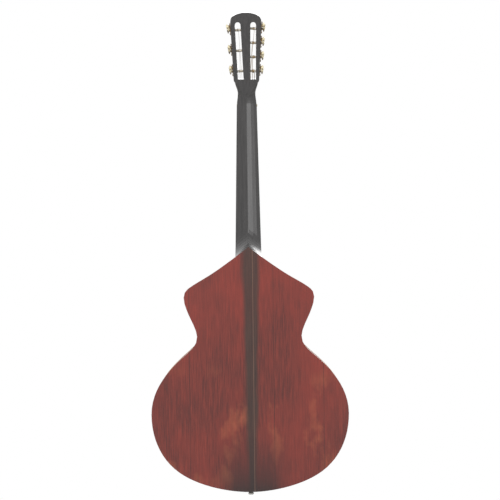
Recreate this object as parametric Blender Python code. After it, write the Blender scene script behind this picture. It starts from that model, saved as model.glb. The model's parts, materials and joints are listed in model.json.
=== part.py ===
# Seven-string guitar with a pointed body, a V-shaped neck and a slotted head.
# Metres. +Z runs up the neck, the soundboard faces -Y and X = 0 is the middle.
# Z = 0 is the head's throat, Y = 0 the soundboard's outer face and the plane that the
# fingerboard is glued to. Viewed from the front the bass strings are on the -X side.

import math

import bmesh
import bpy
from mathutils import Matrix, Vector, geometry

MM = 0.001
GAP = 0.3 * MM  # between pieces that touch

# Driving dimensions
SCALE_LENGTH = 620 * MM
STRINGS = 7
FRETS = 18
NUT_FRONT_Z = -27.5 * MM  # where the scale starts
HEAD_BEND_Z = -22 * MM
HEAD_TILT = math.radians(12)
HEAD_THICKNESS = 18 * MM
HEAD_EDGE = 1.5 * MM  # worn corner along the back of the head
NECK_HALF_AT_NUT = 21.1 * MM
NECK_SPREAD = 0.0197  # growth of the neck's half width per metre of length
NECK_SIDE = 5 * MM  # upright part of the neck's side
NECK_DEPTH_AT_NUT = 17.5 * MM
NECK_DEPTH_AT_HEEL = 20 * MM
RIDGE_HALF = 1.5 * MM
RIDGE_CROWN = 0.5 * MM
FLANK_BULGE = 0.9 * MM
HEEL_LENGTH = 38 * MM  # from the body's edge to where the scoop meets the neck
HEEL_FOOT_Z = -374 * MM
TOP_THICKNESS = 2.5 * MM
BACK_THICKNESS = 2.8 * MM
RIB_THICKNESS = 2.2 * MM
PLATE_OVERHANG = 0.8 * MM
LINING_WIDTH = 5 * MM
LINING_HEIGHT = 12 * MM
BODY_DEPTH_AT_NECK = 78 * MM
BODY_DEPTH_AT_TAIL = 94 * MM
BACK_ARCH = 6 * MM
BODY_HALF = 203.2 * MM  # at the lower bout
SOUNDHOLE_Z = -483 * MM
SOUNDHOLE_RADIUS = 42.5 * MM
SADDLE_Z = NUT_FRONT_Z - SCALE_LENGTH
PIN_Z = SADDLE_Z - 13.5 * MM
STRING_SPREAD_AT_NUT = 34.4 * MM
STRING_SPREAD_AT_SADDLE = 60 * MM
STRING_DIAMETERS = (0.36, 0.42, 0.50, 0.64, 0.78, 0.96, 1.16)  # millimetres, treble to bass
BOARD_THICKNESS = 6 * MM
BOARD_END_Z = -435 * MM
FRET_HEIGHT = 1 * MM
FRET_WIDTH = 2.2 * MM
NUT_THICKNESS = 4.9 * MM
STRING_BOTTOM_AT_NUT = -7.4 * MM
STRING_BOTTOM_AT_SADDLE = -12 * MM
BRIDGE_HEIGHT = 8.2 * MM
SLOT_BOTTOM = 53.9 * MM  # along the head's face from the bend
SLOT_TOP = 172.6 * MM
SLOT_HALF = 5.8 * MM
HEAD_TOP = 192.7 * MM
HEAD_TOP_RADIUS = 51.9 * MM
HEAD_CORNER = 52 * MM  # lower end of the head's straight side
HEAD_SIDE_END = 166 * MM
HEAD_HALF_AT_CORNER = 26.75 * MM
HEAD_SIDE_SLOPE = 0.0485
LOWEST_ROLLER = 69.5 * MM
BASS_ROLLER_PITCH = 29.4 * MM
TREBLE_ROLLER_PITCH = 42.7 * MM
ROLLER_RADIUS = 2.5 * MM
BORE_RADIUS = 2.9 * MM
ROLLER_END_DEPTH = 5.5 * MM  # how far a roller enters the head's middle bar
GEAR_MODULE = 0.7 * MM
GEAR_TEETH = 14
GEAR_WIDTH = 2.3 * MM
GEAR_OFFSET = 5.3 * MM  # middle of the gear from the head's side
BACKLASH = 0.16 * MM
WORM_PITCH_RADIUS = 2.45 * MM
WORM_TURNS = 3.4
BUTTON_BACK = 24 * MM

# Half outline of the body in millimetres: x, z, heading in degrees, and the reach of the
# curve's handles before and after the point. Tip, ogee, shoulder, waist, lower bout, tail.
BODY_KNOTS = (
    (0.0, -323.5, -41.0, 0.0, 14.0),
    (69.0, -373.8, -33.9, 22.7, 25.6),
    (120.9, -405.6, -36.5, 12.9, 6.1),
    (134.5, -427.0, -90.0, 13.0, 13.1),
    (124.5, -462.3, -111.6, 11.3, 10.3),
    (107.7, -507.2, -90.5, 13.4, 20.0),
    (138.6, -551.1, -41.5, 24.7, 41.5),
    (203.2, -667.3, -90.0, 50.5, 47.5),
    (146.8, -785.7, -144.4, 46.5, 47.8),
    (0.0, -826.5, -180.0, 45.5, 0.0),
)
OUTLINE_SPACING = 12 * MM

# Sections of the neck from the nut to the head's straight side, in millimetres along the
# face from the bend: place, tilt in degrees, half width, side height, half width of the
# flat back, depth. The flat back narrows to a rounded end where the neck's ridge starts.
THROAT_SECTIONS = (
    (-5.5, 0.0, 21.1, 5.0, 1.5, 17.5),
    (0.0, 0.0, 20.6, 5.0, 1.5, 17.4),
    (7.0, 3.5, 19.9, 5.5, 1.7, 17.0),
    (14.0, 7.0, 19.0, 6.5, 2.2, 16.7),
    (20.0, 10.0, 18.5, 7.5, 3.2, 16.7),
    (23.0, 12.0, 18.4, 8.5, 6.0, 17.2),
    (25.5, 12.0, 18.5, 9.5, 8.6, 17.9),
    (28.0, 12.0, 18.8, 10.5, 10.3, 18.0),
    (32.0, 12.0, 19.7, 12.0, 12.9, 18.0),
    (36.0, 12.0, 21.1, 13.3, 15.4, 18.0),
    (40.0, 12.0, 22.4, 14.5, 17.9, 18.0),
    (44.0, 12.0, 23.5, 15.4, 20.3, 18.0),
    (47.5, 12.0, 24.6, 16.0, 22.6, 18.0),
    (50.0, 12.0, 26.2, 16.5, 24.6, 18.0),
)
# Corner between the head's side and its arched top: place, half width
TOP_CORNER = ((173.0, 32.3), (178.0, 31.7), (181.5, 30.4))

# Each tuner's side, its place in the row from the nut up, where its string meets the
# winding, which way the winding runs, and the angle its button was left at.
TUNERS = {
    1: {"side": 1, "row": 0, "winding_x": 15.5, "winds": -1, "turned": 0},
    2: {"side": 1, "row": 1, "winding_x": 14.0, "winds": 1, "turned": 4},
    3: {"side": 1, "row": 2, "winding_x": 15.5, "winds": 1, "turned": 17},
    4: {"side": -1, "row": 3, "winding_x": -18.0, "winds": 1, "turned": 12},
    5: {"side": -1, "row": 2, "winding_x": -13.0, "winds": -1, "turned": -3},
    6: {"side": -1, "row": 1, "winding_x": -13.5, "winds": -1, "turned": 2},
    7: {"side": -1, "row": 0, "winding_x": -16.5, "winds": 1, "turned": -2},
}
# Middle of each slot at its square lower end and at its round upper end
SLOT_MIDDLE = {1: (11.7 * MM, 17.0 * MM), -1: (14.0 * MM, 15.2 * MM)}


def clear_scene():
    for item in list(bpy.data.objects):
        bpy.data.objects.remove(item)


def material(name, colour, roughness, metallic=0.0):
    finish = bpy.data.materials.new(name)
    finish.use_nodes = True
    shader = finish.node_tree.nodes["Principled BSDF"]
    shader.inputs["Base Color"].default_value = (*colour, 1)
    shader.inputs["Roughness"].default_value = roughness
    shader.inputs["Metallic"].default_value = metallic
    finish.diffuse_color = (*colour, 1)
    return finish


def mesh_of(name, bm, merge=1e-7):
    bmesh.ops.remove_doubles(bm, verts=bm.verts, dist=merge)
    bmesh.ops.recalc_face_normals(bm, faces=bm.faces)
    mesh = bpy.data.meshes.new(name)
    bm.to_mesh(mesh)
    bm.free()
    mesh.shade_smooth()
    mesh.set_sharp_from_angle(angle=math.radians(32))
    return mesh


def piece(name, mesh, finish, matrix=None):
    item = bpy.data.objects.new(name, mesh)
    if not mesh.materials:
        mesh.materials.append(finish)
    if matrix:
        item.matrix_world = matrix
    bpy.context.scene.collection.objects.link(item)
    return item


def cutter(name, bm, matrix=None):
    item = piece(name, mesh_of(name, bm), None, matrix)
    item.hide_render = True
    item.display_type = "WIRE"
    return item


def combine(item, other, operation):
    modifier = item.modifiers.new(other.name, "BOOLEAN")
    modifier.operation = operation
    modifier.object = other
    modifier.solver = "EXACT"
    return item


def baked_mesh(item):
    # the finished mesh of a piece that several copies share
    graph = bpy.context.evaluated_depsgraph_get()
    mesh = bpy.data.meshes.new_from_object(item.evaluated_get(graph))
    mesh.name = item.name
    for modifier in item.modifiers:
        bpy.data.objects.remove(modifier.object)
    bpy.data.objects.remove(item)
    return mesh


def loft(rings, bm=None):
    # skin through rings of equal count, closed by a face at each end
    bm = bm or bmesh.new()
    loops = [[bm.verts.new(point) for point in ring] for ring in rings]
    for low, high in zip(loops, loops[1:]):
        for i in range(len(low)):
            j = (i + 1) % len(low)
            bm.faces.new((low[i], low[j], high[j], high[i]))
    bm.faces.new(loops[0])
    bm.faces.new(loops[-1])
    return bm


def prism(outline, low, high, bm=None):
    # outline in x and z, thickness along y
    return loft([[(x, y, z) for x, z in outline] for y in (low, high)], bm)


def turned(profile, sides):
    # profile of (radius, height) about the z axis, from end to end
    bm = bmesh.new()
    points = [bm.verts.new((radius, 0, height)) for radius, height in profile]
    edges = [bm.edges.new(pair) for pair in zip(points, points[1:])]
    bmesh.ops.spin(
        bm, geom=points + edges, cent=(0, 0, 0), axis=(0, 0, 1),
        angle=math.tau, steps=sides, use_merge=True,
    )
    return bm


def cylinder(radius, low, high, sides, bm=None, matrix=None):
    # about the z axis of the matrix
    matrix = matrix or Matrix()
    rings = []
    for height in (low, high):
        turns = (math.tau * i / sides for i in range(sides))
        rings.append([
            matrix @ Vector((radius * math.cos(a), radius * math.sin(a), height)) for a in turns
        ])
    return loft(rings, bm)


def spread(total, number):
    # place of a string across the neck, string 1 on the treble side
    return total / 2 - total * (number - 1) / (STRINGS - 1)


# Body

def half_outline(inset=0.0):
    # points from the tip down the +X side to the tail, moved inwards by the inset
    points = []
    for start, end in zip(BODY_KNOTS, BODY_KNOTS[1:]):
        first, last = Vector(start[:2]) * MM, Vector(end[:2]) * MM
        leave = first + Vector((math.cos(math.radians(start[2])), math.sin(math.radians(start[2])))) * start[4] * MM
        arrive = last - Vector((math.cos(math.radians(end[2])), math.sin(math.radians(end[2])))) * end[3] * MM
        count = max(3, round((last - first).length / OUTLINE_SPACING))
        curve = geometry.interpolate_bezier(
            first.to_3d(), leave.to_3d(), arrive.to_3d(), last.to_3d(), count + 1
        )
        points += [point.to_2d() for point in curve[:-1]]
    points.append(Vector(BODY_KNOTS[-1][:2]) * MM)
    moved = []
    for i, point in enumerate(points):
        before, after = points[max(i - 1, 0)], points[min(i + 1, len(points) - 1)]
        along = (after - before).normalized()
        moved.append((point + Vector((along.y, -along.x)) * inset, Vector((along.y, -along.x))))
    while moved[1][0].x <= 0:
        moved.pop(0)
    moved[0] = on_line(moved[0], moved[1], 0.0)
    moved[-1] = (Vector((0.0, moved[-1][0].y)), Vector((0.0, 1.0)))
    return moved


def on_line(first, second, x):
    # the station between two others, or past them, where the outline crosses x
    share = (x - first[0].x) / (second[0].x - first[0].x)
    return first[0].lerp(second[0], share), first[1].lerp(second[1], share).normalized()


def full_outline(inset=0.0):
    half = [point for point, _ in half_outline(inset)]
    return [tuple(p) for p in half] + [(-p.x, p.y) for p in reversed(half[1:-1])]


OUTLINE = half_outline()


def edge_z(x):
    # height of the body's upper edge beside the tip
    for (first, _), (second, _) in zip(OUTLINE, OUTLINE[1:]):
        if first.x <= abs(x) <= second.x:
            return first.lerp(second, (abs(x) - first.x) / (second.x - first.x)).y


INNER_OUTLINE = half_outline(PLATE_OVERHANG + RIB_THICKNESS + LINING_WIDTH + 1.5 * MM)


def brace_end(z, width):
    # half the room between the linings, at a brace's narrower edge
    ends = []
    for edge in (z - width / 2, z + width / 2):
        for (first, _), (second, _) in zip(INNER_OUTLINE, INNER_OUTLINE[1:]):
            if second.y <= edge <= first.y:
                ends.append(first.lerp(second, (edge - first.y) / (second.y - first.y)).x)
    return min(ends)


def back_y(x, z):
    # outer face of the arched back
    share = (OUTLINE[0][0].y - z) / (OUTLINE[0][0].y - OUTLINE[-1][0].y)
    depth = BODY_DEPTH_AT_NECK + (BODY_DEPTH_AT_TAIL - BODY_DEPTH_AT_NECK) * share
    return depth - BACK_ARCH * (x / BODY_HALF) ** 2


def under_back(x, z):
    return back_y(x, z) - BACK_THICKNESS - GAP


def bar(z, width, points, bm=None):
    # brace across the body: points are x and y, from one end round to the other
    return loft([[(x, y, z + side * width / 2) for x, y in points] for side in (-1, 1)], bm)


def pin_slot_cutters(name):
    # room for the seven pins, and for each string in front of its pin
    bm = bmesh.new()
    for number in range(1, STRINGS + 1):
        x = spread(STRING_SPREAD_AT_SADDLE, number)
        turn = Matrix.Translation((x, 0, PIN_Z)) @ Matrix.Rotation(math.radians(90), 4, "X")
        cylinder(2.95 * MM, -8 * MM, 14 * MM, 8, bm, turn)
    holes = cutter(name + "_holes", bm)
    bm = bmesh.new()
    ramp = ((1.0, 8.0), (4.4, 8.0), (4.4, -5.4), (8.6, -8.1), (8.9, -10.5), (1.0, -10.5))
    for number in range(1, STRINGS + 1):
        x = spread(STRING_SPREAD_AT_SADDLE, number)
        rings = [
            [(x + side * 1.0 * MM, y * MM, PIN_Z + ahead * MM) for ahead, y in ramp]
            for side in (-1, 1)
        ]
        loft(rings, bm)
    return holes, cutter(name + "_ramps", bm)


def soundboard(finish):
    board = piece("soundboard", mesh_of("soundboard", prism(full_outline(), 0, TOP_THICKNESS)), finish)
    braces = bmesh.new()
    sunk = TOP_THICKNESS - 0.5 * MM
    for z, height, width in (
        (-404, 11, 7), (-432, 13, 8), (-535, 14, 8), (-580, 12, 7), (-704, 12, 7), (-757, 10, 7),
    ):
        end = brace_end(z * MM, width * MM)
        top = TOP_THICKNESS + height * MM
        scallop = end - 38 * MM
        bar(z * MM, width * MM, (
            (-end, sunk), (end, sunk), (end, TOP_THICKNESS + 3 * MM),
            (scallop, top), (-scallop, top), (-end, TOP_THICKNESS + 3 * MM),
        ), braces)
    combine(board, cutter("soundboard_braces", braces), "UNION")
    patch = prism(
        ((-62 * MM, -643 * MM), (62 * MM, -643 * MM), (62 * MM, -668 * MM), (-62 * MM, -668 * MM)),
        sunk, TOP_THICKNESS + 2 * MM,
    )
    combine(board, cutter("bridge_patch", patch), "UNION")
    across = Matrix.Translation((0, 0, SOUNDHOLE_Z)) @ Matrix.Rotation(math.radians(90), 4, "X")
    hole = cylinder(SOUNDHOLE_RADIUS, -10 * MM, 10 * MM, 48, matrix=across)
    combine(board, cutter("soundhole", hole), "DIFFERENCE")
    for slot in pin_slot_cutters("soundboard_pin"):
        combine(board, slot, "DIFFERENCE")


def back_plate(finish):
    # an arched sheet, cut to the body's outline
    strips = 22
    rings = []
    for z in (-300 * MM, -850 * MM):
        across = [BODY_HALF * 1.05 * (2 * i / strips - 1) for i in range(strips + 1)]
        outer = [(x, back_y(x, z), z) for x in across]
        inner = [(x, y - BACK_THICKNESS, z) for x, y, z in reversed(outer)]
        rings.append(outer + inner)
    sheet = piece("back_plate", mesh_of("back_plate", loft(rings)), finish)
    combine(sheet, cutter("back_outline", prism(full_outline(), 30 * MM, 120 * MM)), "INTERSECT")
    braces = bmesh.new()
    for z, height, width in ((-400, 13, 8), (-470, 13, 8), (-565, 14, 8), (-665, 14, 8), (-750, 12, 8)):
        z = z * MM
        end = brace_end(z, width * MM)
        places = [end * (i / 4 - 1) for i in range(9)]
        glued = [(x, back_y(x, z) - BACK_THICKNESS + 0.5 * MM) for x in places]
        heights = [3 * MM if abs(x) == end else height * MM for x in places]
        free = [
            (x, back_y(x, z) - BACK_THICKNESS - tall)
            for x, tall in zip(reversed(places), heights)
        ]
        bar(z, width * MM, glued + free, braces)
    combine(sheet, cutter("back_braces", braces), "UNION")


def rib_stations(start_x):
    # from the slot in the heel round to the seam at the tail
    stations = list(OUTLINE)
    while stations[1][0].x < start_x:
        stations.pop(0)
    stations[0] = on_line(stations[0], stations[1], start_x)
    stations[-1] = on_line(stations[-2], stations[-1], GAP / 2)
    return stations


def rib(name, side, finish):
    rings = []
    front = TOP_THICKNESS + GAP
    outer, inner = PLATE_OVERHANG, PLATE_OVERHANG + RIB_THICKNESS
    for point, inward in rib_stations(16 * MM):
        beside_block = point.x < 44 * MM
        lined = inner + (0 if beside_block else LINING_WIDTH)
        ring = []
        for offset, from_front, drop in (
            (outer, True, 0), (lined, True, 0), (lined, True, 3 * MM), (inner, True, LINING_HEIGHT),
            (inner, False, LINING_HEIGHT), (lined, False, 3 * MM), (lined, False, 0), (outer, False, 0),
        ):
            x, z = point + inward * offset
            x = max(x, GAP / 2)
            y = front + drop if from_front else under_back(x, z) - drop
            ring.append((side * x, y, z))
        rings.append(ring)
    item = piece(name, mesh_of(name, loft(rings)), finish)
    combine(item, end_pin_bore(name), "DIFFERENCE")


def end_pin_y():
    return back_y(0, OUTLINE[-1][0].y) / 2


def end_pin_bore(owner):
    place = Matrix.Translation((0, end_pin_y(), OUTLINE[-1][0].y))
    return cutter(owner + "_pin_bore", cylinder(4.2 * MM, -5 * MM, 20 * MM, 16, matrix=place))


def tail_block(finish):
    inset = PLATE_OVERHANG + RIB_THICKNESS + GAP
    bottom = [tuple(p) for p, _ in half_outline(inset) if p.x < 32 * MM and p.y < SOUNDHOLE_Z]
    top = OUTLINE[-1][0].y + 24 * MM
    corner = bottom[0][0]
    outline = [(corner, top)] + bottom + [(-x, z) for x, z in reversed(bottom[:-1])] + [(-corner, top)]
    depth = under_back(corner, top) - 0.2 * MM
    item = piece("tail_block", mesh_of("tail_block", prism(outline, TOP_THICKNESS + GAP, depth)), finish)
    combine(item, end_pin_bore("tail_block"), "DIFFERENCE")


def end_pin(finish):
    # turned knob with a shank in the tail block, axis along z
    profile = (
        (0, 17.0), (2.4, 17.0), (3.4, 1.0), (3.4, -0.3), (5.6, -0.3), (5.9, -1.0), (4.0, -2.2),
        (3.8, -5.5), (4.6, -8.0), (5.8, -9.4), (5.8, -11.4), (4.6, -12.5), (0, -12.5),
    )
    shape = turned([(radius * MM, height * MM) for radius, height in profile], 12)
    face = OUTLINE[-1][0].y + PLATE_OVERHANG
    piece("end_pin", mesh_of("end_pin", shape), finish, Matrix.Translation((0, end_pin_y(), face)))


# Neck and head

def neck_half(z):
    return NECK_HALF_AT_NUT + NECK_SPREAD * (NUT_FRONT_Z - z)


def neck_depth(z):
    share = (NUT_FRONT_Z - z) / (NUT_FRONT_Z - OUTLINE[0][0].y)
    return NECK_DEPTH_AT_NUT + (NECK_DEPTH_AT_HEEL - NECK_DEPTH_AT_NUT) * share


def section(half, side, flat, depth, crown, bulge):
    # half of a section as (x, depth) from the front corner round to the middle of the back
    edge, ridge = Vector((half, side)), Vector((flat, depth))
    outward = Vector((depth - side, half - flat)).normalized()
    points = [(half, 0.0), tuple(edge)]
    for share in (1 / 3, 2 / 3):
        points.append(tuple(edge.lerp(ridge, share) + outward * bulge * 4 * share * (1 - share)))
    return points + [tuple(ridge), (0.0, depth + crown)]


def whole(points):
    return points + [(-x, y) for x, y in reversed(points[:-1])]


def head_point(x, along, deep, tilt=HEAD_TILT):
    # along the head's face from the bend, and in from it
    base_y = max(along, 0) * math.sin(HEAD_TILT)
    base_z = HEAD_BEND_Z + (along * math.cos(HEAD_TILT) if along > 0 else along)
    return Vector((x, base_y + deep * math.cos(tilt), base_z - deep * math.sin(tilt)))


def head_half(along):
    return HEAD_HALF_AT_CORNER + HEAD_SIDE_SLOPE * (along - HEAD_CORNER)


def head_rings():
    rows = [[value * MM if i != 1 else math.radians(value) for i, value in enumerate(row)]
            for row in THROAT_SECTIONS]
    straight = [(HEAD_CORNER, head_half(HEAD_CORNER)), (HEAD_SIDE_END, head_half(HEAD_SIDE_END))]
    corner = [(along * MM, half * MM) for along, half in TOP_CORNER]
    arch = []
    for degrees in (33, 28, 22.5, 16.5, 9):
        turn = math.radians(degrees)
        arch.append((HEAD_TOP - HEAD_TOP_RADIUS * (1 - math.cos(turn)), HEAD_TOP_RADIUS * math.sin(turn)))
    for along, half in straight + corner + arch:
        rows.append([along, HEAD_TILT, half, HEAD_THICKNESS - HEAD_EDGE, half - HEAD_EDGE, HEAD_THICKNESS])
    rings = []
    for along, tilt, half, side, flat, depth in rows:
        crown = RIDGE_CROWN if along < 20 * MM else 0
        bulge = FLANK_BULGE * max(0.0, 1 - max(along, 0) / (45 * MM))
        points = whole(section(half, side, flat, depth, crown, bulge))
        rings.append([head_point(x, along, deep, tilt) for x, deep in points])
    return rings


def shaft_ring(z):
    points = section(neck_half(z), NECK_SIDE, RIDGE_HALF, neck_depth(z), RIDGE_CROWN, FLANK_BULGE)
    return [(x, y, z) for x, y in whole(points)]


def heel_ring(above):
    # a ring that follows the body's pointed edge, a given height above it
    edge = edge_z(neck_half(-345 * MM)) + above
    points = section(neck_half(edge), NECK_SIDE, RIDGE_HALF, neck_depth(edge), RIDGE_CROWN, FLANK_BULGE)
    reach = 1 - above / HEEL_LENGTH
    rise = 1 - math.sqrt(max(0.0, 1 - min(reach, 1) ** 2))
    ring = []
    for x, y in whole(points):
        z = edge_z(x) + above
        ring.append((x, y + (under_back(x, z) - y) * rise if y else 0.0, z))
    return ring


def foot_ring(z):
    half = neck_half(-345 * MM)
    points = section(half, NECK_SIDE, RIDGE_HALF, NECK_DEPTH_AT_HEEL, RIDGE_CROWN, FLANK_BULGE)
    return [(x, under_back(x, z) if y else 0.0, z) for x, y in whole(points)]


def slot_cutters():
    slots, ramps, bores = bmesh.new(), bmesh.new(), bmesh.new()
    for side, (low, high) in SLOT_MIDDLE.items():
        arc_start = SLOT_TOP - SLOT_HALF
        outline = [(low + SLOT_HALF, SLOT_BOTTOM), (high + SLOT_HALF, arc_start)]
        for step in range(1, 8):
            turn = math.pi * step / 8
            outline.append((high + SLOT_HALF * math.cos(turn), arc_start + SLOT_HALF * math.sin(turn)))
        outline += [(high - SLOT_HALF, arc_start), (low - SLOT_HALF, SLOT_BOTTOM)]
        rings = [
            [head_point(side * x, along, deep) for x, along in outline]
            for deep in (-4 * MM, HEAD_THICKNESS + 4 * MM)
        ]
        loft(rings, slots)
        # the strings run down into the slot over a ramp at its lower end
        ramp = ((30.0, -2.0), (58.0, -2.0), (58.0, 5.4), (30.0, -0.2))
        rings = [
            [head_point(side * x, along * MM, deep * MM) for along, deep in ramp]
            for x in (low - SLOT_HALF + 0.4 * MM, low + SLOT_HALF - 0.9 * MM)
        ]
        loft(rings, ramps)
    for number in TUNERS:
        place = tuner_place(number)
        depth = roller_reach(number) + 0.5 * MM
        cylinder(BORE_RADIUS, -depth, 5 * MM, 8, bores, place @ Matrix.Rotation(math.radians(90), 4, "Y"))
    return [cutter("head_slots", slots), cutter("string_ramps", ramps), cutter("roller_bores", bores)]


def rib_slots():
    bm = bmesh.new()
    low, high = PLATE_OVERHANG - GAP, PLATE_OVERHANG + RIB_THICKNESS + GAP
    for side in (-1, 1):
        rings = []
        for point, inward in rib_stations(15.6 * MM):
            if point.x > 45 * MM:
                break
            rings.append([
                (side * (point + inward * offset).x, y, (point + inward * offset).y)
                for offset, y in ((low, -3 * MM), (high, -3 * MM), (high, 100 * MM), (low, 100 * MM))
            ])
        loft(rings, bm)
    return cutter("rib_slots", bm)


def neck(finish):
    shaft = [shaft_ring(z * MM) for z in (-275, -255, -215, -165, -115, -70)]
    above_edge = (38, 30, 23, 17, 12, 8, 5, 2.8, 1.3, 0.4, 0, -1.5)
    heel = [heel_ring(above * MM) for above in above_edge]
    rings = [foot_ring(HEEL_FOOT_Z)] + heel[::-1] + shaft + head_rings()
    item = piece("neck", mesh_of("neck", loft(rings)), finish)
    for shape in slot_cutters():
        combine(item, shape, "DIFFERENCE")
    seat = prism(full_outline(-GAP), -5 * MM, TOP_THICKNESS + GAP)
    combine(item, cutter("soundboard_seat", seat), "DIFFERENCE")
    combine(item, rib_slots(), "DIFFERENCE")


def fret_z(number):
    return NUT_FRONT_Z - SCALE_LENGTH * (1 - 2 ** (-number / 12))


def fingerboard(finish):
    rings = [
        [(x, y, z) for x, y in ((neck_half(z), -GAP), (-neck_half(z), -GAP),
                                (-neck_half(z), -BOARD_THICKNESS), (neck_half(z), -BOARD_THICKNESS))]
        for z in (NUT_FRONT_Z, BOARD_END_Z)
    ]
    item = piece("fingerboard", mesh_of("fingerboard", loft(rings)), finish)
    bars = bmesh.new()
    profile = ((-0.5, 0.6), (-0.5, 0), (-0.3, -0.8), (0, -1), (0.3, -0.8), (0.5, 0), (0.5, 0.6))
    for number in range(1, FRETS + 1):
        z = fret_z(number)
        end = neck_half(z) - 0.4 * MM
        rings = [
            [(x, -BOARD_THICKNESS + tall * FRET_HEIGHT, z + wide * FRET_WIDTH) for wide, tall in profile]
            for x in (-end, end)
        ]
        loft(rings, bars)
    combine(item, cutter("frets", bars), "UNION")


def string_radius(number):
    return STRING_DIAMETERS[number - 1] * MM / 2


def nut(finish):
    # a touch proud of the neck on the bass side
    left, right = -22.2 * MM, 21.2 * MM
    top = STRING_BOTTOM_AT_NUT - 0.8 * MM
    back = NUT_FRONT_Z + NUT_THICKNESS
    outline = (
        (NUT_FRONT_Z + GAP, -GAP), (back, -GAP), (back, top + 1.2 * MM), (back - 1.5 * MM, top),
        (NUT_FRONT_Z + GAP, top),
    )
    item = piece("nut", mesh_of("nut", loft([[(x, y, z) for z, y in outline] for x in (left, right)])), finish)
    bm = bmesh.new()
    for number in range(1, STRINGS + 1):
        x = spread(STRING_SPREAD_AT_NUT, number)
        half = string_radius(number) + GAP
        low = STRING_BOTTOM_AT_NUT + GAP
        rings = [
            [(x - half, low - 3 * MM, z), (x + half, low - 3 * MM, z), (x + half, low, z), (x - half, low, z)]
            for z in (NUT_FRONT_Z - 2 * MM, back + 2 * MM)
        ]
        loft(rings, bm)
    combine(item, cutter("nut_slots", bm), "DIFFERENCE")


# Bridge and strings

def bridge(finish):
    # raised middle with thin wings, a saddle slot and seven pin holes
    middle = (SADDLE_Z + PIN_Z) / 2
    rows = (
        (79, 2.4, 5.5), (76, 3.0, 8.5), (68, 3.4, 10.5), (52, 3.8, 12.5), (44, 4.6, 13.6), (40, 8.2, 14.4),
    )
    rings = []
    for x, height, half in [(-x, height, half) for x, height, half in rows] + list(reversed(rows)):
        top, edge, wide = -GAP - height * MM, -GAP - height * 0.7 * MM, half * MM
        rings.append([
            (x * MM, -GAP, middle - wide), (x * MM, edge, middle - wide),
            (x * MM, top, middle - wide + 1.2 * MM), (x * MM, top, middle + wide - 1.2 * MM),
            (x * MM, edge, middle + wide), (x * MM, -GAP, middle + wide),
        ])
    item = piece("bridge", mesh_of("bridge", loft(rings)), finish)
    slot = prism(
        ((-36.4 * MM, SADDLE_Z - 1.6 * MM), (36.4 * MM, SADDLE_Z - 1.6 * MM),
         (36.4 * MM, SADDLE_Z + 1.6 * MM), (-36.4 * MM, SADDLE_Z + 1.6 * MM)),
        -15 * MM, -4.1 * MM,
    )
    combine(item, cutter("saddle_slot", slot), "DIFFERENCE")
    for shape in pin_slot_cutters("bridge_pin"):
        combine(item, shape, "DIFFERENCE")


def saddle(finish):
    top = STRING_BOTTOM_AT_SADDLE + GAP
    half = 1.3 * MM
    profile = (
        (-half, -4.4 * MM), (half, -4.4 * MM), (half, top + 0.8 * MM), (0.5 * MM, top),
        (-0.5 * MM, top), (-half, top + 0.8 * MM),
    )
    rings = [[(x, y, SADDLE_Z + z) for z, y in profile] for x in (-36 * MM, 36 * MM)]
    piece("saddle", mesh_of("saddle", loft(rings)), finish)


def bridge_pins(finish):
    profile = (
        (0, 9.0), (1.75, 9.0), (2.45, -8.4), (2.5, -8.9), (3.6, -9.2), (3.8, -10.4), (2.9, -11.7),
        (1.3, -12.3), (0, -12.3),
    )
    mesh = mesh_of("bridge_pin", turned([(radius * MM, -height * MM) for radius, height in profile], 8))
    for number in range(1, STRINGS + 1):
        place = Matrix.Translation((spread(STRING_SPREAD_AT_SADDLE, number), 0, PIN_Z))
        piece(f"bridge_pin_{number}", mesh, finish, place @ Matrix.Rotation(math.radians(90), 4, "X"))


def winding_points(number):
    # tangent from the nut to the roller, then two and a half turns a little clear of it
    tuner = TUNERS[number]
    radius = string_radius(number)
    start = Vector((spread(STRING_SPREAD_AT_NUT, number), STRING_BOTTOM_AT_NUT - radius, NUT_FRONT_Z + NUT_THICKNESS + GAP))
    along = Vector((0, math.sin(HEAD_TILT), math.cos(HEAD_TILT)))
    deep = Vector((0, math.cos(HEAD_TILT), -math.sin(HEAD_TILT)))
    offset = start - head_point(0, 0, 0)
    place = tuner_place(number)
    outward = place.to_3x3() @ Vector((1, 0, 0))
    end_x = tuner["winding_x"] * MM
    centre = place.translation + outward * ((end_x - place.translation.x) / outward.x)
    ahead = (centre - head_point(0, 0, 0)).dot(along) - offset.dot(along)
    fall = HEAD_THICKNESS / 2 - offset.dot(deep)
    loop = ROLLER_RADIUS + 0.45 * MM + radius
    heading = math.atan2(fall, ahead) - math.asin(loop / math.hypot(fall, ahead))
    line = along * math.cos(heading) + deep * math.sin(heading)
    front = along * math.sin(heading) - deep * math.cos(heading)
    pitch = 2 * radius + 0.6 * MM
    shift = outward * (math.copysign(1, outward.x) * tuner["winds"] * pitch / math.tau)
    per_turn, turns = 8, 2.5
    coil = []
    for step in range(int(per_turn * turns) + 1):
        turn = math.tau * step / per_turn
        coil.append(centre + (front * math.cos(turn) + line * math.sin(turn)) * loop + shift * turn)
    return start, coil


def least_gap(points, diameter, skip):
    # between stretches of one tube that aren't neighbours along it
    nearest = min(
        (a - b).length
        for i, a in enumerate(points)
        for b in points[i + skip:]
    )
    return nearest - diameter


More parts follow.
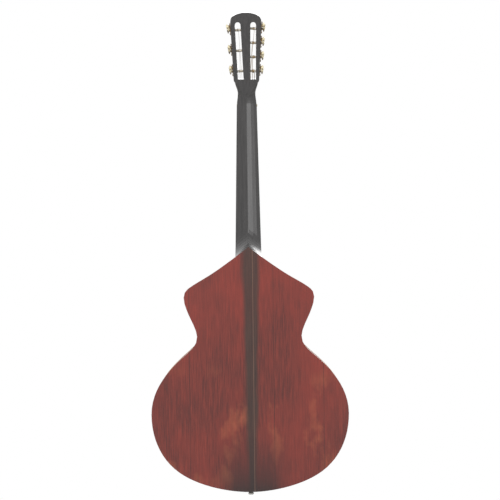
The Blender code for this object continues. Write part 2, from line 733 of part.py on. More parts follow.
def strings(finishes):
    for number in range(1, STRINGS + 1):
        radius = string_radius(number)
        x_pin = spread(STRING_SPREAD_AT_SADDLE, number)
        start, coil = winding_points(number)
        front = PIN_Z + 3.35 * MM
        over_saddle = STRING_BOTTOM_AT_SADDLE - radius
        ball = 1.1 * MM / radius
        points = [
            (Vector((x_pin, 8.5 * MM, front)), ball),
            (Vector((x_pin, 6.0 * MM, front)), ball),
            (Vector((x_pin, 5.8 * MM, front)), 1.0),
            (Vector((x_pin, -5.2 * MM - radius, front)), 1.0),
            (Vector((x_pin, over_saddle, SADDLE_Z - 0.6 * MM)), 1.0),
            (Vector((x_pin, over_saddle, SADDLE_Z)), 1.0),
            (start - Vector((0, 0, 2 * MM)), 1.0),
            (start, 1.0),
        ]
        points += [(point, 1.0) for point in coil]
        curve = bpy.data.curves.new(f"string_{number}", "CURVE")
        curve.dimensions = "3D"
        curve.bevel_depth = radius
        curve.bevel_resolution = 1
        curve.render_resolution_u = 0
        curve.use_fill_caps = True
        spline = curve.splines.new("POLY")
        spline.points.add(len(points) - 1)
        for target, (point, size) in zip(spline.points, points):
            target.co = (*point, 1)
            target.radius = size
        curve.materials.append(finishes[0] if number < 4 else finishes[1])
        item = bpy.data.objects.new(f"string_{number}", curve)
        bpy.context.scene.collection.objects.link(item)
        print(f"string {number}: least gap in its winding {least_gap(coil, 2 * radius, 6) / MM:.2f} mm")


# Tuning machines: worm, button, gear and roller on a plate screwed to the head's side

def tuner_place(number):
    # x out of the head's side, y up along it, z through the head; middle of the roller bore
    tuner = TUNERS[number]
    pitch = BASS_ROLLER_PITCH if tuner["side"] < 0 else TREBLE_ROLLER_PITCH
    along = LOWEST_ROLLER + pitch * tuner["row"]
    lean = math.atan(HEAD_SIDE_SLOPE)
    up = Vector((0, math.sin(HEAD_TILT), math.cos(HEAD_TILT)))
    across = Vector((tuner["side"], 0, 0))
    outward = across * math.cos(lean) - up * math.sin(lean)
    upward = across * math.sin(lean) + up * math.cos(lean)
    place = Matrix((outward, upward, outward.cross(upward))).transposed().to_4x4()
    place.translation = head_point(tuner["side"] * head_half(along), along, HEAD_THICKNESS / 2)
    return place


def slot_middle(side, along):
    low, high = SLOT_MIDDLE[side]
    return low + (high - low) * (along - SLOT_BOTTOM) / (SLOT_TOP - SLOT_HALF - SLOT_BOTTOM)


def roller_reach(number):
    # length of the roller from the head's side to its end in the middle bar
    tuner = TUNERS[number]
    pitch = BASS_ROLLER_PITCH if tuner["side"] < 0 else TREBLE_ROLLER_PITCH
    along = LOWEST_ROLLER + pitch * tuner["row"]
    inner_wall = slot_middle(tuner["side"], along) - SLOT_HALF
    return head_half(along) - inner_wall + ROLLER_END_DEPTH


def worm_place(number):
    # z along the worm towards the button
    place = tuner_place(number)
    back = Vector((0, math.cos(HEAD_TILT), -math.sin(HEAD_TILT)))
    upward = place.to_3x3() @ Vector((0, 1, 0))
    frame = Matrix((upward.cross(back), upward, back)).transposed().to_4x4()
    distance = GEAR_MODULE * GEAR_TEETH / 2 + WORM_PITCH_RADIUS
    frame.translation = place @ Vector((GEAR_OFFSET, distance, 0))
    return frame


def gear_mesh():
    # teeth thinned by the backlash and set over by the worm's lead angle
    pitch_radius = GEAR_MODULE * GEAR_TEETH / 2
    flank = math.pi * GEAR_MODULE / 4 - BACKLASH / 2
    lead_slope = GEAR_MODULE / (2 * WORM_PITCH_RADIUS)
    tooth = (
        (pitch_radius - 1.25 * GEAR_MODULE, -1.6 * flank), (pitch_radius + GEAR_MODULE, -0.35 * flank),
        (pitch_radius + GEAR_MODULE, 0.35 * flank), (pitch_radius - 1.25 * GEAR_MODULE, 1.6 * flank),
    )
    rings = []
    for end in (-0.5, 0.5):
        x = GEAR_OFFSET + end * GEAR_WIDTH
        twist = lead_slope * end * GEAR_WIDTH / pitch_radius
        ring = []
        for number in range(GEAR_TEETH):
            middle = math.tau * (number + 0.5) / GEAR_TEETH + twist
            for radius, side in tooth:
                turn = middle + side / radius
                ring.append((x, radius * math.cos(turn), radius * math.sin(turn)))
        rings.append(ring)
    item = piece("gear_blank", mesh_of("gear_blank", loft(rings)), None)
    bore = cylinder(2.0 * MM, 0, 12 * MM, 8, matrix=Matrix.Rotation(math.radians(90), 4, "Y"))
    combine(item, cutter("gear_bore", bore), "DIFFERENCE")
    return baked_mesh(item)


def thread_mesh():
    # one helical strip of root, flank, crest and flank, closed by a fan at each end
    per_turn = 8
    lead = math.pi * GEAR_MODULE
    flank = lead / 4 - BACKLASH / 2
    slope = math.tan(math.radians(20))
    crest, root = flank - GEAR_MODULE * slope, flank + 1.25 * GEAR_MODULE * slope
    crest_radius = WORM_PITCH_RADIUS + GEAR_MODULE
    root_radius = WORM_PITCH_RADIUS - 1.25 * GEAR_MODULE
    profile = ((-root, root_radius), (-crest, crest_radius), (crest, crest_radius), (root, root_radius))
    steps = round(WORM_TURNS * per_turn)
    bm = bmesh.new()
    rows = []
    for step in range(steps + 1):
        # the crest passes the gear's middle at the -y side
        turn = math.tau * (step - steps / 2) / per_turn
        angle = turn - math.pi / 2
        height = lead * turn / math.tau
        rows.append([
            bm.verts.new((radius * math.cos(angle), radius * math.sin(angle), height + offset))
            for offset, radius in profile
        ])
    for step in range(steps):
        for j in range(3):
            bm.faces.new((rows[step][j], rows[step + 1][j], rows[step + 1][j + 1], rows[step][j + 1]))
        if step + 1 + per_turn <= steps:
            above, beside = rows[step + per_turn][0], rows[step + 1 + per_turn][0]
            bm.faces.new((rows[step][3], rows[step + 1][3], beside, above))
    first = [row[0] for row in rows[:per_turn + 1]] + rows[0][:0:-1]
    last = [row[3] for row in rows[steps - per_turn:]] + rows[steps][2::-1]
    for loop in (first, last):
        middle = sum(vert.co.z for vert in loop) / len(loop)
        hub = bm.verts.new((0, 0, middle))
        for i, vert in enumerate(loop):
            bm.faces.new((vert, loop[(i + 1) % len(loop)], hub))
    return bm


def worm_mesh():
    item = piece("worm_thread", mesh_of("worm_thread", thread_mesh()), None)
    profile = (
        (0, -8.7), (1.6, -8.7), (2.1, -8.3), (2.1, -7.7), (1.45, -7.7), (1.45, -6.05), (2.2, -6.05),
        (2.2, -3.5), (1.2, -3.3), (1.2, 3.3), (2.2, 3.5), (2.2, 6.05), (1.45, 6.05), (1.45, 7.7),
        (2.3, 7.7), (2.3, 9.5), (1.3, 9.5), (1.3, 24.5), (0.8, 24.9), (0, 24.9),
    )
    shaft = turned([(radius * MM, height * MM) for radius, height in profile], 8)
    combine(item, cutter("worm_shaft", shaft), "UNION")
    return baked_mesh(item)


def button_mesh():
    # flattened oval, thick across the head's side and long up it, bored for the shaft
    sides = 10
    shape = (
        (9.9, 1.9, 2.5), (11.5, 2.5, 5.6), (16.6, 2.95, 7.5), (21.5, 2.6, 6.0),
        (BUTTON_BACK / MM, 1.95, 2.5), (BUTTON_BACK / MM, 1.65, 1.65), (9.9, 1.65, 1.65),
    )
    bm = bmesh.new()
    loops = []
    for height, thick, wide in shape:
        turns = (math.tau * (i + 0.5) / sides for i in range(sides))
        loops.append([
            bm.verts.new((thick * MM * math.cos(a), wide * MM * math.sin(a), height * MM)) for a in turns
        ])
    for low, high in zip(loops, loops[1:] + loops[:1]):
        for i in range(sides):
            j = (i + 1) % sides
            bm.faces.new((low[i], low[j], high[j], high[i]))
    return mesh_of("tuner_button", bm)


def plate_mesh():
    # flat plate with two ears that carry the worm
    outline = (
        (-9.5, -3.0), (-9.5, 3.0), (-7.5, 5.2), (-3.0, 5.6), (3.2, 5.6), (3.6, 7.4), (11.2, 7.4),
        (11.6, 5.4), (13.6, 5.2), (15.5, 3.0), (15.5, -3.0), (13.6, -5.2), (11.6, -5.4), (11.2, -7.4),
        (3.6, -7.4), (3.2, -5.6), (-3.0, -5.6), (-7.5, -5.2),
    )
    rings = [[(x * MM, y * MM, z * MM) for y, z in outline] for x in (0.3, 1.4)]
    item = piece("plate_blank", mesh_of("plate_blank", loft(rings)), None)
    centre_y = GEAR_MODULE * GEAR_TEETH / 2 + WORM_PITCH_RADIUS
    half = 3.4 * MM
    ears = bmesh.new()
    for side in (-1, 1):
        rings = []
        for depth in (6.3 * MM, 7.4 * MM):
            ring = [(0.6 * MM, centre_y - half, side * depth), (0.6 * MM, centre_y + half, side * depth)]
            for step in range(7):
                turn = math.pi * step / 6
                ring.append((GEAR_OFFSET + half * math.sin(turn), centre_y + half * math.cos(turn), side * depth))
            rings.append(ring)
        loft(rings, ears)
    combine(item, cutter("plate_ears", ears), "UNION")
    bores = cylinder(1.62 * MM, -12 * MM, 12 * MM, 8, matrix=Matrix.Translation((GEAR_OFFSET, centre_y, 0)))
    cylinder(BORE_RADIUS, -2 * MM, 3 * MM, 8, bores, Matrix.Rotation(math.radians(90), 4, "Y"))
    combine(item, cutter("plate_bores", bores), "DIFFERENCE")
    return baked_mesh(item)


def roller(number, finish):
    # spindle with a string hole, a shoulder for the gear and a riveted end
    reach = roller_reach(number) / MM
    profile = (
        (0, -reach), (2.2, -reach), (2.5, -reach + 0.5), (2.5, 3.85), (1.65, 3.85), (1.65, 6.75),
        (2.9, 6.75), (2.9, 7.2), (2.1, 7.6), (0, 7.6),
    )
    shape = turned([(radius * MM, height * MM) for radius, height in profile], 8)
    place = tuner_place(number) @ Matrix.Rotation(math.radians(90), 4, "Y")
    name = f"tuner_roller_{number}"
    item = piece(name, mesh_of(name, shape), finish, place)
    tuner = TUNERS[number]
    outward = place.to_3x3() @ Vector((0, 0, 1))
    run = (tuner["winding_x"] * MM - place.translation.x) / outward.x
    hole_at = run - tuner["side"] * tuner["winds"] * 1.6 * MM
    across = Matrix.Translation((0, 0, hole_at)) @ Matrix.Rotation(math.radians(90), 4, "Y")
    hole = cylinder(0.75 * MM, -5 * MM, 5 * MM, 8, matrix=across)
    combine(item, cutter(name + "_hole", hole, place), "DIFFERENCE")


def tuners(brass, steel, bone):
    plate, gear, worm, button = plate_mesh(), gear_mesh(), worm_mesh(), button_mesh()
    for number, tuner in TUNERS.items():
        place = tuner_place(number)
        piece(f"tuner_plate_{number}", plate, brass, place)
        turn = math.radians(tuner["turned"])
        follow = Matrix.Rotation(turn / GEAR_TEETH * tuner["side"], 4, "X")
        piece(f"tuner_gear_{number}", gear, brass, place @ follow)
        roller(number, steel)
        spin = worm_place(number) @ Matrix.Rotation(turn, 4, "Z")
        piece(f"tuner_worm_{number}", worm, steel, spin)
        piece(f"tuner_button_{number}", button, bone, spin)


def main():
    clear_scene()
    spruce = material("spruce", (0.55, 0.33, 0.14), 0.35)
    stained_back = material("stained_back", (0.16, 0.035, 0.025), 0.3)
    ebonised = material("ebonised", (0.035, 0.033, 0.032), 0.28)
    inner_wood = material("inner_wood", (0.5, 0.34, 0.18), 0.7)
    bone = material("bone", (0.68, 0.6, 0.44), 0.4)
    brass = material("brass", (0.33, 0.24, 0.12), 0.45, 0.9)
    steel = material("steel", (0.36, 0.33, 0.29), 0.4, 0.9)
    nickel = material("nickel", (0.5, 0.49, 0.47), 0.3, 1.0)
    wound = material("wound_string", (0.45, 0.34, 0.2), 0.4, 0.9)
    soundboard(spruce)
    back_plate(stained_back)
    rib("rib_bass", -1, stained_back)
    rib("rib_treble", 1, stained_back)
    tail_block(inner_wood)
    neck(ebonised)
    fingerboard(ebonised)
    nut(bone)
    bridge(ebonised)
    saddle(bone)
    bridge_pins(bone)
    end_pin(nickel)
    tuners(brass, steel, bone)
    strings((steel, wound))


main()
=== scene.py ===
# Looks of the seven-string guitar, seen from behind as in the photograph.

import json
import math

import bmesh
import bpy
from mathutils import Matrix, Vector


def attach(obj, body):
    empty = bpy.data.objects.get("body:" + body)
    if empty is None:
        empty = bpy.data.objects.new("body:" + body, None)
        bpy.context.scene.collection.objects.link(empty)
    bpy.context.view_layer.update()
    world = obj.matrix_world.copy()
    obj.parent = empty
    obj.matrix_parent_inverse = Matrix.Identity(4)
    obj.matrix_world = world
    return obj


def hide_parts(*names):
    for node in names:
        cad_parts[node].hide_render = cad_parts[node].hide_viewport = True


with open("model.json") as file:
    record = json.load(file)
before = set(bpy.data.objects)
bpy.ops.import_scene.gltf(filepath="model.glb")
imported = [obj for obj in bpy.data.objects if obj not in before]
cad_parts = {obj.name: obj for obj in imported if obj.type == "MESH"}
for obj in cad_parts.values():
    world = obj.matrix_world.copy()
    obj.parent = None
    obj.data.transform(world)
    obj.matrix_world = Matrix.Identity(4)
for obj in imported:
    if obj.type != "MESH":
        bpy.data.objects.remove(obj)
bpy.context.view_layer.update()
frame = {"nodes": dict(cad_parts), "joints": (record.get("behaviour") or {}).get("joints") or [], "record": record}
nodes = frame["nodes"]
joints = {joint["name"]: joint for joint in frame["joints"]}

mm = 0.001
weld = 0.001 * mm  # points closer than this are merged
machines = range(1, 8)  # the seven tuning machines
coatRoughness = 0.12  # brushed varnish, not polished
reliefStrength = 0.6


def linear(hexColour):
    # sRGB hex to scene linear
    channels = [int(hexColour[i:i + 2], 16) / 255 for i in (1, 3, 5)]
    return (*[c / 12.92 if c <= 0.04045 else ((c + 0.055) / 1.055) ** 2.4 for c in channels], 1)


def newMaterial(name, roughness, metallic=0.0, coat=0.0):
    finish = bpy.data.materials.new(name)
    finish.use_nodes = True
    shader = finish.node_tree.nodes["Principled BSDF"]
    shader.inputs["Roughness"].default_value = roughness
    shader.inputs["Metallic"].default_value = metallic
    shader.inputs["Coat Weight"].default_value = coat
    shader.inputs["Coat Roughness"].default_value = coatRoughness
    return finish, finish.node_tree, shader


def add(tree, kind, sockets, output=0, stops=(), **settings):
    # one node: its settings, each socket's value or incoming link, and a ramp's colour stops
    made = tree.nodes.new("ShaderNode" + kind)
    for name, value in settings.items():
        setattr(made, name, value)
    for socket, value in sockets.items():
        if isinstance(value, bpy.types.NodeSocket):
            tree.links.new(value, made.inputs[socket])
        else:
            made.inputs[socket].default_value = value
    if stops:
        elements = made.color_ramp.elements
        while len(elements) < len(stops):
            elements.new(0.5)
        for element, (place, colour) in zip(elements, stops):
            element.position = place
            element.color = linear(colour)
    return made.outputs[output]


def pattern(tree, stretch, scale, detail=4.0, rough=0.55):
    # noise on object coordinates, stretched along each axis, with its features per metre
    place = add(tree, "TexCoord", {}, "Object")
    place = add(tree, "Mapping", {"Vector": place, "Scale": stretch})
    look = {"Vector": place, "Scale": scale, "Detail": detail, "Roughness": rough}
    return add(tree, "TexNoise", look, "Fac")


def measured(tree, axis):
    # the object's own X or Z at each point, in metres
    place = add(tree, "TexCoord", {}, "Object")
    return add(tree, "SeparateXYZ", {"Vector": place}, axis)


def band(tree, value, middle, half, soft):
    # one near the middle, nought away from it
    away = add(tree, "Math", {0: value, 1: middle}, operation="SUBTRACT")
    away = add(tree, "Math", {0: away}, operation="ABSOLUTE")
    limits = {"Value": away, "From Min": half + soft, "From Max": half}
    return add(tree, "MapRange", limits, interpolation_type="SMOOTHSTEP")


def laidOver(tree, under, over, where, strength):
    # a colour over the one below it; 0, 6 and 7 are a colour mix's share, first and second colour
    share = add(tree, "Math", {0: where, 1: strength}, operation="MULTIPLY")
    return add(tree, "Mix", {0: share, 6: under, 7: over}, 2, data_type="RGBA")


def intoShader(tree, shader, colour, height, depth):
    # the colour, and a relief of the given depth
    normal = add(tree, "Bump", {"Height": height, "Distance": depth, "Strength": reliefStrength})
    tree.links.new(colour, shader.inputs["Base Color"])
    tree.links.new(normal, shader.inputs["Normal"])


boards = {
    "roughness": 0.34, "coat": 0.12, "relief": 0.12 * mm,
    "grain": ((1, 1, 0.045), 420, 6, 0.62),  # fibres 2.4 mm wide, 22 times as long
    "grainColours": ((0.30, "#43140e"), (0.50, "#5c1d15"), (0.68, "#71281d")),
    "patches": ((1, 1, 0.6), 9, 3), "patchEdge": ((0.42, "#000000"), (0.62, "#ffffff")),
    "patchColour": "#842b1f", "patchShare": 0.45,
    "glow": ((1.2, 1, 0.7), 14, 4), "glowEdge": ((0.55, "#000000"), (0.72, "#ffffff")),
    "glowColour": "#b86a44", "glowShare": 0.35,
    "glowZ": -700 * mm, "glowHalf": 60 * mm, "glowSoft": 90 * mm,
}
strip = {
    "tailZ": -826 * mm, "heelZ": -330 * mm, "tailHalf": 11 * mm, "heelHalf": 20 * mm,
    "middleX": -4 * mm, "edgeOut": -2 * mm, "edgeIn": 7 * mm, "share": 0.85,
    "edgeWander": ((1, 1, 0.12), 70, 4), "wanderWidth": 16 * mm,
    "grain": ((1, 1, 0.05), 300, 5), "grainColours": ((0.3, "#1c1410"), (0.7, "#32271f")),
}
# painted shadow on the boards near the tail, beside the dark strip
paintedTailShadow = {
    "startZ": -700 * mm, "fullZ": -826 * mm, "colour": "#1c0d0b", "share": 0.95,
    "middleX": -5 * mm, "half": 30 * mm, "soft": 60 * mm,
}
seams = {
    "half": 0.35 * mm, "soft": 0.5 * mm,
    # place across the back, colour, strength
    "lines": (
        (-8 * mm, "#7a5a4a", 0.5), (-50 * mm, "#260d0a", 0.6), (-152 * mm, "#260d0a", 0.6),
        (124 * mm, "#260d0a", 0.6),
    ),
}


def stainedWood():
    # hardwood boards stained red-brown and brushed with varnish: fine streaks under a soft gloss, and a painted
    # shadow towards the tail
    finish, tree, shader = newMaterial("stainedBoards", boards["roughness"], coat=boards["coat"])
    x, z = measured(tree, "X"), measured(tree, "Z")
    grain = pattern(tree, *boards["grain"])
    colour = add(tree, "ValToRGB", {"Fac": grain}, stops=boards["grainColours"])
    patches = pattern(tree, *boards["patches"])
    patches = add(tree, "ValToRGB", {"Fac": patches}, stops=boards["patchEdge"])
    colour = laidOver(tree, colour, linear(boards["patchColour"]), patches, boards["patchShare"])
    # orange patches on the lower back
    glow = add(tree, "ValToRGB", {"Fac": pattern(tree, *boards["glow"])}, stops=boards["glowEdge"])
    low = band(tree, z, boards["glowZ"], boards["glowHalf"], boards["glowSoft"])
    glow = add(tree, "Math", {0: glow, 1: low}, operation="MULTIPLY")
    colour = laidOver(tree, colour, linear(boards["glowColour"]), glow, boards["glowShare"])
    # the dark strip narrows towards the tail, and its edges waver along the grain
    half = add(tree, "MapRange", {
        "Value": z, "From Min": strip["tailZ"], "From Max": strip["heelZ"],
        "To Min": strip["tailHalf"], "To Max": strip["heelHalf"],
    })
    away = add(tree, "Math", {0: x, 1: -strip["middleX"]}, operation="ADD")
    away = add(tree, "Math", {0: away}, operation="ABSOLUTE")
    inside = add(tree, "Math", {0: half, 1: away}, operation="SUBTRACT")
    wander = add(tree, "Math", {0: pattern(tree, *strip["edgeWander"]), 1: 0.5}, operation="SUBTRACT")
    wander = add(tree, "Math", {0: wander, 1: strip["wanderWidth"]}, operation="MULTIPLY")
    inside = add(tree, "Math", {0: inside, 1: wander}, operation="ADD")
    edge = {"Value": inside, "From Min": strip["edgeOut"], "From Max": strip["edgeIn"]}
    within = add(tree, "MapRange", edge)
    dark = add(tree, "ValToRGB", {"Fac": pattern(tree, *strip["grain"])}, stops=strip["grainColours"])
    colour = laidOver(tree, colour, dark, within, strip["share"])
    # painted shadow: near the strip the boards darken towards the tail
    reach = {"Value": z, "From Min": paintedTailShadow["startZ"], "From Max": paintedTailShadow["fullZ"]}
    tail = add(tree, "MapRange", reach)
    near = band(tree, x, paintedTailShadow["middleX"], paintedTailShadow["half"], paintedTailShadow["soft"])
    paintedShadow = add(tree, "Math", {0: tail, 1: near}, operation="MULTIPLY")
    colour = laidOver(tree, colour, linear(paintedTailShadow["colour"]), paintedShadow, paintedTailShadow["share"])
    for middle, seamColour, strength in seams["lines"]:
        seam = band(tree, x, middle, seams["half"], seams["soft"])
        colour = laidOver(tree, colour, linear(seamColour), seam, strength)
    intoShader(tree, shader, colour, grain, boards["relief"])
    return finish


top = {
    "roughness": 0.3, "coat": 0.4, "relief": 0.08 * mm,
    "lines": ((1, 1, 0.02), 620, 3, 0.5),  # year rings 1.6 mm apart
    "lineColours": ((0.35, "#a8713a"), (0.5, "#c48c4e"), (0.65, "#d3a163")),
    "tone": ((1, 1, 0.5), 7, 2), "toneColours": ((0.35, "#e0cdb0"), (0.65, "#ffffff")),
    "toneShare": 0.8,
}


def spruce():
    # straight-grained softwood, varnished and aged to amber: close lines with broad lighter areas
    finish, tree, shader = newMaterial("agedSpruce", top["roughness"], coat=top["coat"])
    lines = pattern(tree, *top["lines"])
    colour = add(tree, "ValToRGB", {"Fac": lines}, stops=top["lineColours"])
    tone = add(tree, "ValToRGB", {"Fac": pattern(tree, *top["tone"])}, stops=top["toneColours"])
    layers = {0: top["toneShare"], 6: colour, 7: tone}
    colour = add(tree, "Mix", layers, 2, data_type="RGBA", blend_type="MULTIPLY")
    intoShader(tree, shader, colour, lines, top["relief"])
    return finish


varnish = {
    "roughness": 0.22, "coat": 0.22, "relief": 0.05 * mm,
    "grain": ((1, 1, 0.06), 260, 5), "grainColours": ((0.35, "#272626"), (0.65, "#343232")),
    "wear": ((1, 1, 0.5), 60, 5, 0.6), "wearEdge": ((0.66, "#000000"), (0.74, "#ffffff")),
    "wearColour": "#5b4330", "wearShare": 0.6,
    "scuffs": ((1, 1, 0.3), 90, 4), "smoothest": 0.14, "roughest": 0.34,
}


def ebonised():
    # black varnish brushed over hardwood: uneven gloss, worn to brown in small places
    finish, tree, shader = newMaterial("blackVarnish", varnish["roughness"], coat=varnish["coat"])
    grain = pattern(tree, *varnish["grain"])
    colour = add(tree, "ValToRGB", {"Fac": grain}, stops=varnish["grainColours"])
    wear = add(tree, "ValToRGB", {"Fac": pattern(tree, *varnish["wear"])}, stops=varnish["wearEdge"])
    colour = laidOver(tree, colour, linear(varnish["wearColour"]), wear, varnish["wearShare"])
    scuffs = pattern(tree, *varnish["scuffs"])
    span = {"Value": scuffs, "To Min": varnish["smoothest"], "To Max": varnish["roughest"]}
    tree.links.new(add(tree, "MapRange", span), shader.inputs["Roughness"])
    intoShader(tree, shader, colour, grain, varnish["relief"])
    return finish


# slot: name, dark and light colour, roughness, metallic, spots per metre, relief
mottledLooks = {
    "bone": ("agedBone", "#b9ab86", "#dcd2b4", 0.38, 0.0, 220, 0.05 * mm),
    "brass": ("tarnishedBrass", "#4a3a24", "#86693c", 0.42, 0.85, 420, 0.06 * mm),
    "inner_wood": ("bareWood", "#a5815a", "#c3a077", 0.7, 0.0, 160, 0.1 * mm),
    "steel": ("dullSteel", "#6e675c", "#a29a8b", 0.38, 0.9, 500, 0.04 * mm),
    "nickel": ("dullNickel", "#85837f", "#b3b1ad", 0.3, 0.95, 300, 0.03 * mm),
    "wound_string": ("woundString", "#7d6239", "#b1905a", 0.36, 0.9, 1800, 0.08 * mm),
    "floor": ("paleFloor", "#e9e9e7", "#f2f2f0", 0.8, 0.0, 3, 0.1 * mm),
}
spotStretch, spotDetail, spotRough, darkAt, lightAt = (1, 1, 1), 5, 0.6, 0.35, 0.65


def mottled(slot):
    # worn metal, bone, bare wood and the floor: spots between a dark and a light tone
    name, dark, light, roughness, metallic, scale, relief = mottledLooks[slot]
    finish, tree, shader = newMaterial(name, roughness, metallic)
    spots = pattern(tree, spotStretch, scale, spotDetail, spotRough)
    colour = add(tree, "ValToRGB", {"Fac": spots}, stops=((darkAt, dark), (lightAt, light)))
    intoShader(tree, shader, colour, spots, relief)
    return finish


def dress(name, bm, material, body, matrix):
    # a finished piece with its place in its mesh, riding on a body
    bmesh.ops.recalc_face_normals(bm, faces=bm.faces)
    bm.transform(matrix)
    mesh = bpy.data.meshes.new(name)
    bm.to_mesh(mesh)
    bm.free()
    mesh.shade_smooth()
    mesh.set_sharp_from_angle(angle=math.radians(35))
    mesh.materials.append(material)
    piece = bpy.data.objects.new(name, mesh)
    bpy.context.scene.collection.objects.link(piece)
    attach(piece, body)
    return piece


def shaftFrame(number):
    # z along the worm's shaft, towards the button
    joint = joints[f"button_turn_{number}"]
    place = Vector(joint["axis"]).to_track_quat("Z", "Y").to_matrix().to_4x4()
    place.translation = Vector(joint["pos_m"])
    return place


def tunerFrame(number):
    # x out of the head's side and y up along it
    joint = joints[f"roller_turn_{number}"]
    outward = Vector(joint["axis"])
    upward = Vector(joints["button_turn_1"]["axis"]).cross(outward)
    if upward.z < 0:
        upward.negate()
    place = Matrix((outward, upward, outward.cross(upward))).transposed().to_4x4()
    place.translation = Vector(joint["pos_m"])
    return place


button = {
    "sides": 40, "bore": 1.65 * mm,
    # height along the button, half thickness and half width, in millimetres
    "rings": (
        (9.9, 1.9, 2.5), (10.3, 2.2, 4.0), (11.3, 2.5, 5.4), (13.6, 2.8, 6.9), (16.6, 2.95, 7.45),
        (19.6, 2.83, 7.0), (22.0, 2.55, 5.7), (23.4, 2.25, 4.2), (24.0, 1.95, 2.5),
    ),
}


def widestWay(name, place):
    # the angle at which the button's long side lies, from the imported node
    low = place.inverted()
    far = max((low @ v.co for v in nodes[name].data.vertices), key=lambda p: p.xy.length)
    return math.atan2(far.y, far.x)


def buttons(material):
    # oval buttons of bone, bored for their shafts
    rings = [[size * mm for size in ring] for ring in button["rings"]]
    rings += [[rings[end][0], button["bore"], button["bore"]] for end in (-1, 0)]
    for number in machines:
        place = shaftFrame(number)
        bm = bmesh.new()
        height, thick, wide = rings[0]
        shape = Matrix.Translation((0, 0, height)) @ Matrix.Diagonal((thick, wide, 1, 1))
        bmesh.ops.create_circle(bm, segments=button["sides"], radius=1, matrix=shape)
        edges = bm.edges[:]
        # from ring to ring up the outside, down the bore and back to the first
        for old, new in zip(rings, rings[1:] + rings[:1]):
            made = bmesh.ops.extrude_edge_only(bm, edges=edges)["geom"]
            verts = [part for part in made if isinstance(part, bmesh.types.BMVert)]
            edges = [part for part in made if isinstance(part, bmesh.types.BMEdge) and part.is_boundary]
            bmesh.ops.scale(bm, vec=(new[1] / old[1], new[2] / old[2], 1), verts=verts)
            bmesh.ops.translate(bm, vec=(0, 0, new[0] - old[0]), verts=verts)
        bmesh.ops.remove_doubles(bm, verts=bm.verts, dist=weld)
        turn = Matrix.Rotation(widestWay(f"tuner_button_{number}", place) - math.pi / 2, 4, "Z")
        piece = dress(f"button_{number}", bm, material, f"worm_{number}", place @ turn)
        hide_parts(f"tuner_button_{number}")


screw = {
    "radius": 2.1 * mm, "proud": 0.9 * mm, "slotHalf": 0.5 * mm, "slotFloor": 0.35, "steps": 6, "sides": 24,
    "seat": 1.4 * mm, "places": {"low": -7.3 * mm, "high": 13.4 * mm},  # along the plate from the roller
}


def screws(material):
    # domed and slotted heads that hold each tuner's plate to the head
    for number in machines:
        for end, up in screw["places"].items():
            bm = bmesh.new()
            arc = [math.radians(90 * i / screw["steps"]) for i in range(screw["steps"] + 1)]
            points = [
                bm.verts.new((screw["radius"] * math.cos(a), 0, screw["proud"] * math.sin(a))) for a in arc
            ]
            edges = [bm.edges.new(pair) for pair in zip(points, points[1:])]
            bmesh.ops.spin(
                bm, geom=points + edges, cent=(0, 0, 0), axis=(0, 0, 1),
                angle=math.tau, steps=screw["sides"], use_merge=True,
            )
            bmesh.ops.remove_doubles(bm, verts=bm.verts, dist=weld)
            for vert in bm.verts:
                if abs(vert.co.x) < screw["slotHalf"]:
                    vert.co.z *= screw["slotFloor"]
            rim = [edge for edge in bm.edges if edge.is_boundary]
            bmesh.ops.contextual_create(bm, geom=rim)
            seat = tunerFrame(number) @ Matrix.Translation((screw["seat"], up, 0))
            outward = Matrix.Rotation(math.radians(90), 4, "Y")
            dress(f"plate_screw_{number}_{end}", bm, material, "guitar", seat @ outward)


inlay = {
    "middleZ": -483 * mm, "proud": 0.1 * mm, "deep": 0.3 * mm, "steps": 96,
    # inner radius, width
    "rings": ((46.0 * mm, 0.7 * mm), (48.0 * mm, 2.4 * mm), (51.6 * mm, 0.7 * mm)),
}


def soundholeRings(dark, pale):
    # rings let into the board round the soundhole, a hair proud of it, the middle one pale
    finishes = ((dark, "ebonised"), (pale, "bone"), (dark, "ebonised"))
    for number, ((inner, width), (material, slot)) in enumerate(zip(inlay["rings"], finishes), 1):
        bm = bmesh.new()
        corners = (
            (inner, -inlay["proud"], 0), (inner + width, -inlay["proud"], 0),
            (inner + width, inlay["deep"], 0), (inner, inlay["deep"], 0),
        )
        profile = [bm.verts.new(corner) for corner in corners]
        edges = [bm.edges.new(pair) for pair in zip(profile, profile[1:] + profile[:1])]
        bmesh.ops.spin(
            bm, geom=profile + edges, cent=(0, 0, 0), axis=(0, 1, 0),
            angle=math.tau, steps=inlay["steps"], use_merge=True,
        )
        bmesh.ops.remove_doubles(bm, verts=bm.verts, dist=weld)
        middle = Matrix.Translation((0, 0, inlay["middleZ"]))
        dress(f"soundhole_ring_{number}", bm, material, "guitar", middle)


# name, place, watts, side of the square; all look at the body's middle
lamps = (
    ("keyLight", (1.5, 2.6, 1.4), 62, 1.6), ("fillLight", (-2.2, 2.2, 0.3), 30, 2.0),
    ("frontLight", (-0.6, -2.8, 0.8), 34, 2.0), ("headLight", (0.2, 1.4, 1.6), 16, 0.8),
)
lampTarget = (0, 0, -0.35)


def lights():
    for name, place, power, size in lamps:
        lamp = bpy.data.lights.new(name, "AREA")
        lamp.energy = power
        lamp.size = size
        item = bpy.data.objects.new(name, lamp)
        item.location = place
        way = Vector(lampTarget) - Vector(place)
        item.rotation_euler = way.to_track_quat("-Z", "Y").to_euler()
        bpy.context.scene.collection.objects.link(item)


studio = {"white": (1, 1, 1, 1), "light": 0.45, "floorHalf": 2.5, "floorZ": -1.3}


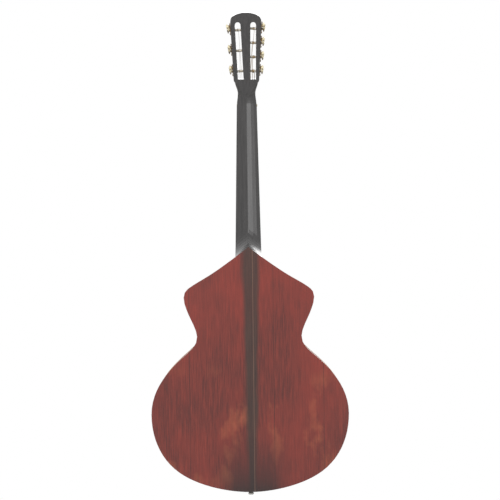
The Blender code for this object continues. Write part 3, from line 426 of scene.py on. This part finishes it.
def surroundings():
    # white behind the object and in reflections, softer as a light on it
    world = bpy.data.worlds.new("studio")
    bpy.context.scene.world = world
    world.use_nodes = True
    tree = world.node_tree
    tree.nodes.clear()
    path = tree.nodes.new("ShaderNodeLightPath").outputs
    seen = path["Is Camera Ray"]
    for kind in ("Is Transmission Ray", "Is Glossy Ray"):
        seen = add(tree, "Math", {0: seen, 1: path[kind]}, operation="MAXIMUM")
    soft = add(tree, "Background", {"Color": studio["white"], "Strength": studio["light"]})
    white = add(tree, "Background", {"Color": studio["white"], "Strength": 1.0})
    shown = add(tree, "MixShader", {0: seen, 1: soft, 2: white})
    tree.links.new(shown, tree.nodes.new("ShaderNodeOutputWorld").inputs["Surface"])
    # the guitar hangs above a plain pale floor
    bm = bmesh.new()
    bmesh.ops.create_grid(bm, x_segments=1, y_segments=1, size=studio["floorHalf"])
    mesh = bpy.data.meshes.new("floor")
    bm.to_mesh(mesh)
    bm.free()
    mesh.materials.append(mottled("floor"))
    floor = bpy.data.objects.new("floor", mesh)
    floor.location = (0, 0, studio["floorZ"])
    bpy.context.scene.collection.objects.link(floor)


camera = {
    "distance": 3390 * mm, "height": -330 * mm, "side": -3.4 * mm, "roll": 0.65, "lens": 115.7, "film": 36,
}


def aim():
    # straight at the back, with the photograph's slight roll
    lens = bpy.data.cameras.new("camera")
    lens.lens = camera["lens"]
    lens.sensor_width = camera["film"]
    item = bpy.data.objects.new("camera", lens)
    roll = math.radians(camera["roll"])
    right = Vector((-math.cos(roll), 0, -math.sin(roll)))
    up = Vector((-math.sin(roll), 0, math.cos(roll)))
    turn = Matrix((right, up, Vector((0, 1, 0)))).transposed().to_4x4()
    item.matrix_world = Matrix.Translation((camera["side"], camera["distance"], camera["height"])) @ turn
    bpy.context.scene.collection.objects.link(item)
    bpy.context.scene.camera = item


def dressNodes(finishes):
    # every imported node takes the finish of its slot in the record
    slots = {row["node"]: row["material_slot"] for row in frame["record"]["subparts"]}
    for name, item in nodes.items():
        item.data.materials.clear()
        item.data.materials.append(finishes[slots[name]])


bpy.context.scene.view_settings.view_transform = "Standard"
finishes = {slot: mottled(slot) for slot in mottledLooks if slot != "floor"}
finishes["spruce"] = spruce()
finishes["stained_back"] = stainedWood()
finishes["ebonised"] = ebonised()
print("materials made")
dressNodes(finishes)
buttons(finishes["bone"])
screws(finishes["brass"])
soundholeRings(finishes["ebonised"], finishes["bone"])
print("pieces made")
lights()
surroundings()
aim()
print("lights, studio and camera made")
